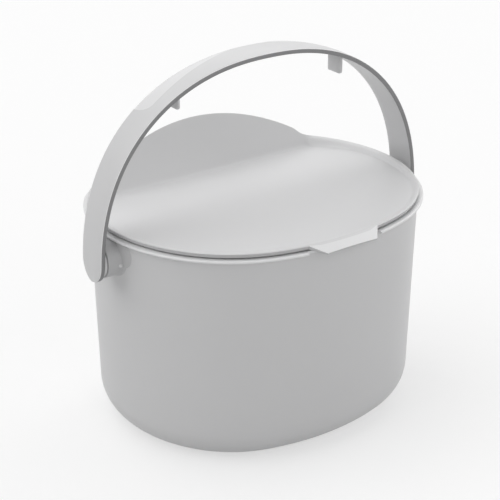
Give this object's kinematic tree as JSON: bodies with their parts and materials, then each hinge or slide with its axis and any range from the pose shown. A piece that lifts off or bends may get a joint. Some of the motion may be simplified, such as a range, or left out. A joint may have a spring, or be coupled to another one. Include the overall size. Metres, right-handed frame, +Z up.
{
  "type": "compost caddy",
  "caption": "Oval kitchen compost caddy with a flattened back, a dished hinged lid with a raised rear and finger tab, and an arched bail handle that folds back.",
  "frame": {"origin": "On the floor that the bin stands on, under the middle of the rim's oval.", "axes": "X along the handle's pivots, -Y toward the front with the finger tab, +Z up."},
  "size_m": [0.2638, 0.2022, 0.2568],
  "materials": {
    "bin_plastic": "satin light neutral grey, fine moulded grain",
    "lid_plastic": "satin light neutral grey, fine moulded grain",
    "handle_plastic": "satin light neutral grey, fine moulded grain"
  },
  "bodies": {
    "bin": {"bin_body": "bin_plastic"},
    "lid": {"lid": "lid_plastic"},
    "handle": {"handle": "handle_plastic"}
  },
  "joints": [
    {"name": "lid_hinge", "type": "hinge", "parent": "bin", "child": "lid", "pos_m": [0, 0.08904, 0.148], "axis": [-1, 0, 0], "range_deg": [0, 17]},
    {"name": "handle_fold", "type": "hinge", "parent": "bin", "child": "handle", "pos_m": [0, -0.0046, 0.1382], "axis": [-1, 0, 0], "range_deg": [0, 95]}
  ]
}
